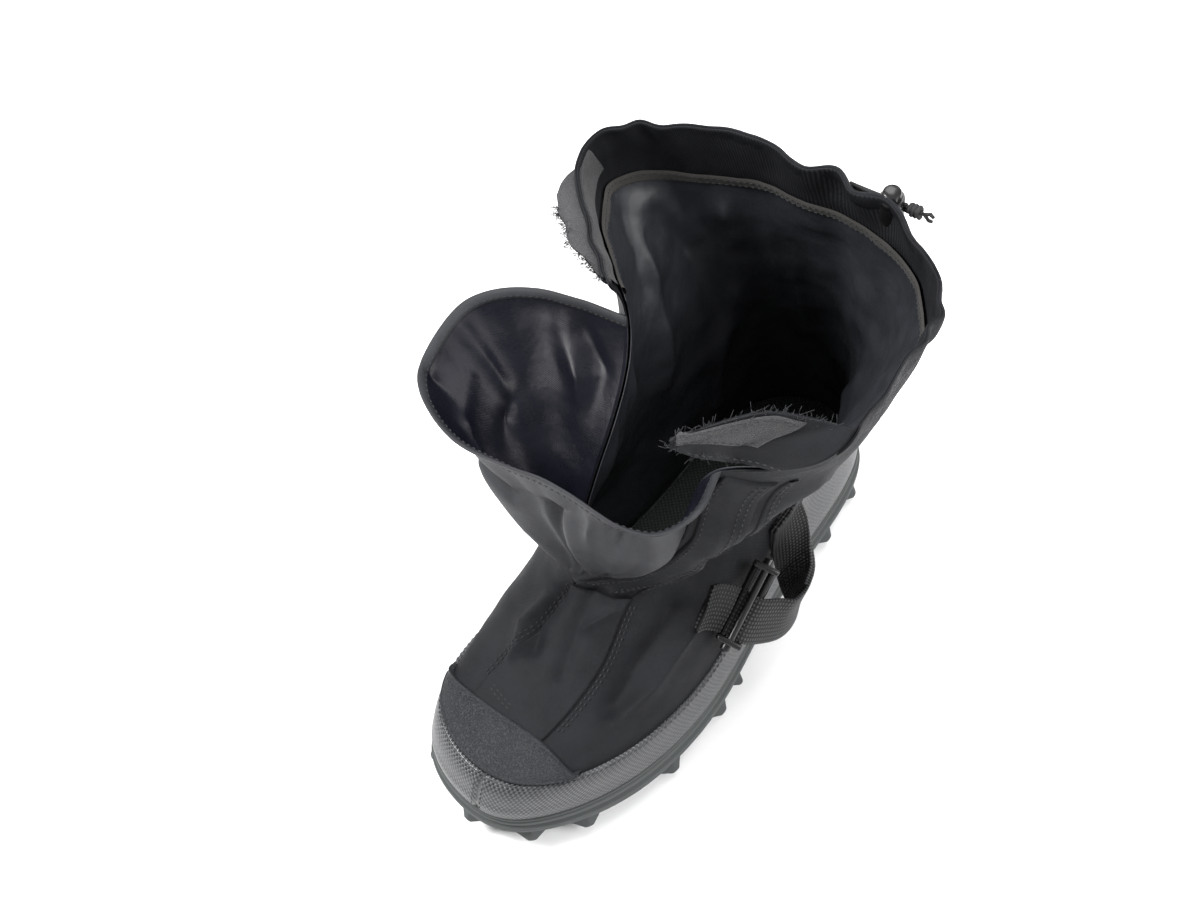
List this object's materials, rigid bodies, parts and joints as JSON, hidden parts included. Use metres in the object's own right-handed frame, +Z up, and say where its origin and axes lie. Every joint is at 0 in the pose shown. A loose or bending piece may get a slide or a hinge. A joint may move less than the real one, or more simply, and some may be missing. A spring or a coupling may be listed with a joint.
{
  "type": "winter overshoe",
  "caption": "Tall nylon winter overshoe for a left foot, with a lugged rubber outsole, textured rand, toe cap, open bellows gusset, side strap with slider and a drawcord collar.",
  "frame": {"origin": "on the floor, at the centre of the outsole's length and width", "axes": "-Y towards the toe, +Y towards the heel, +X towards the outer side of the left foot, +Z up"},
  "size_m": [0.2321, 0.3398, 0.2675],
  "materials": {
    "outsole_rubber": "matte dark grey",
    "rand_rubber": "satin grey with a small raised texture",
    "cap_rubber": "matte pebbled",
    "black_nylon": "matte weave",
    "coated_nylon": "glossy coating inside, matte outside",
    "hook_tape": "hook and loop pile",
    "binding_tape": "matte tape",
    "webbing": "ribbed webbing",
    "cord": "braided",
    "insole_felt": "ribbed felt",
    "black_plastic": "gloss"
  },
  "bodies": {
    "root": {"outsole": "outsole_rubber", "insole": "insole_felt", "upper": "black_nylon", "rand": "rand_rubber", "toe_cap": "cap_rubber", "vamp_panel": "black_nylon", "gusset": "coated_nylon", "front_placket": "black_nylon", "closure_flap": "black_nylon", "loop_strip": "hook_tape", "liner_binding": "binding_tape", "collar_hem": "black_nylon", "strap": "webbing", "strap_front": "webbing", "strap_slider": "black_plastic", "drawcord_upper": "cord", "drawcord_lower": "cord", "cord_lock_barrel": "black_plastic", "cord_lock_button": "black_plastic", "cord_knot": "cord"}
  },
  "joints": []
}
